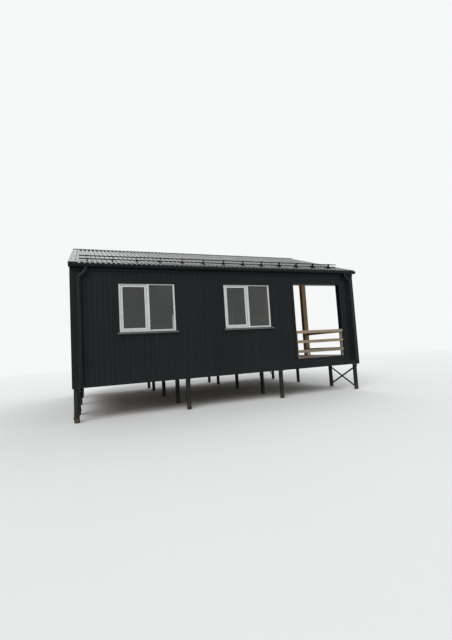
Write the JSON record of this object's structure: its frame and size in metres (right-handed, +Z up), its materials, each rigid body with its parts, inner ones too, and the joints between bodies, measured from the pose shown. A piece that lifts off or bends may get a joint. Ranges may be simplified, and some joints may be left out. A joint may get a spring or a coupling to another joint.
{
  "type": "shipping container cabin",
  "caption": "Cabin of joined container modules on piles, with a ribbed gable roof, white windows and a roofed open terrace.",
  "frame": {"origin": "on the ground under the middle of the cabin, at the level of the piles' lower ends", "axes": "+X along the front wall towards the terrace, +Y from the front wall to the back wall, +Z up"},
  "size_m": [7.363, 6.3906, 4.4915],
  "materials": {
    "pile_steel": "dark primer",
    "frame_steel": "dark primer",
    "floor_board": "plain boards",
    "deck_board": "weathered boards",
    "wall_panel": "painted board",
    "graphite_sheet": "satin",
    "ceiling_board": "painted board",
    "timber": "sawn",
    "roof_sheet": "satin",
    "verge_sheet": "satin",
    "rainwater_sheet": "satin",
    "guard_steel": "satin",
    "window_plastic": "white",
    "glass": "clear",
    "sill_sheet": "satin",
    "door_sheet": "satin",
    "handle_steel": "brushed",
    "railing_wood": "sawn, unpainted"
  },
  "bodies": {
    "root": {"piles": "pile_steel", "pile_bracing": "pile_steel", "base_frame": "frame_steel", "floor_joists": "frame_steel", "room_floor": "floor_board", "terrace_deck": "deck_board", "front_wall": "wall_panel", "back_wall": "wall_panel", "left_wall": "wall_panel", "terrace_wall": "wall_panel", "terrace_front_wall": "wall_panel", "terrace_back_wall": "wall_panel", "gables": "wall_panel", "front_cladding": "graphite_sheet", "back_cladding": "graphite_sheet", "left_cladding": "graphite_sheet", "right_cladding": "graphite_sheet", "terrace_cladding": "graphite_sheet", "corner_trims": "graphite_sheet", "ceiling": "ceiling_board", "roof_trusses": "timber", "terrace_rafters": "timber", "roof_battens": "timber", "front_roof": "roof_sheet", "back_roof": "roof_sheet", "ridge_cap": "roof_sheet", "verge_trims": "verge_sheet", "eave_boards": "graphite_sheet", "gutters": "rainwater_sheet", "downpipes": "rainwater_sheet", "guard_tubes": "guard_steel", "guard_brackets": "guard_steel", "window_frames": "window_plastic", "window_sashes": "window_plastic", "window_glass": "glass", "window_sills": "sill_sheet", "window_trims": "graphite_sheet", "opening_trims": "graphite_sheet", "door_frame": "door_sheet", "door_leaf": "door_sheet", "door_handle": "handle_steel", "terrace_posts": "railing_wood", "front_railing": "railing_wood", "back_railing": "railing_wood", "right_railing": "railing_wood"}
  },
  "joints": []
}
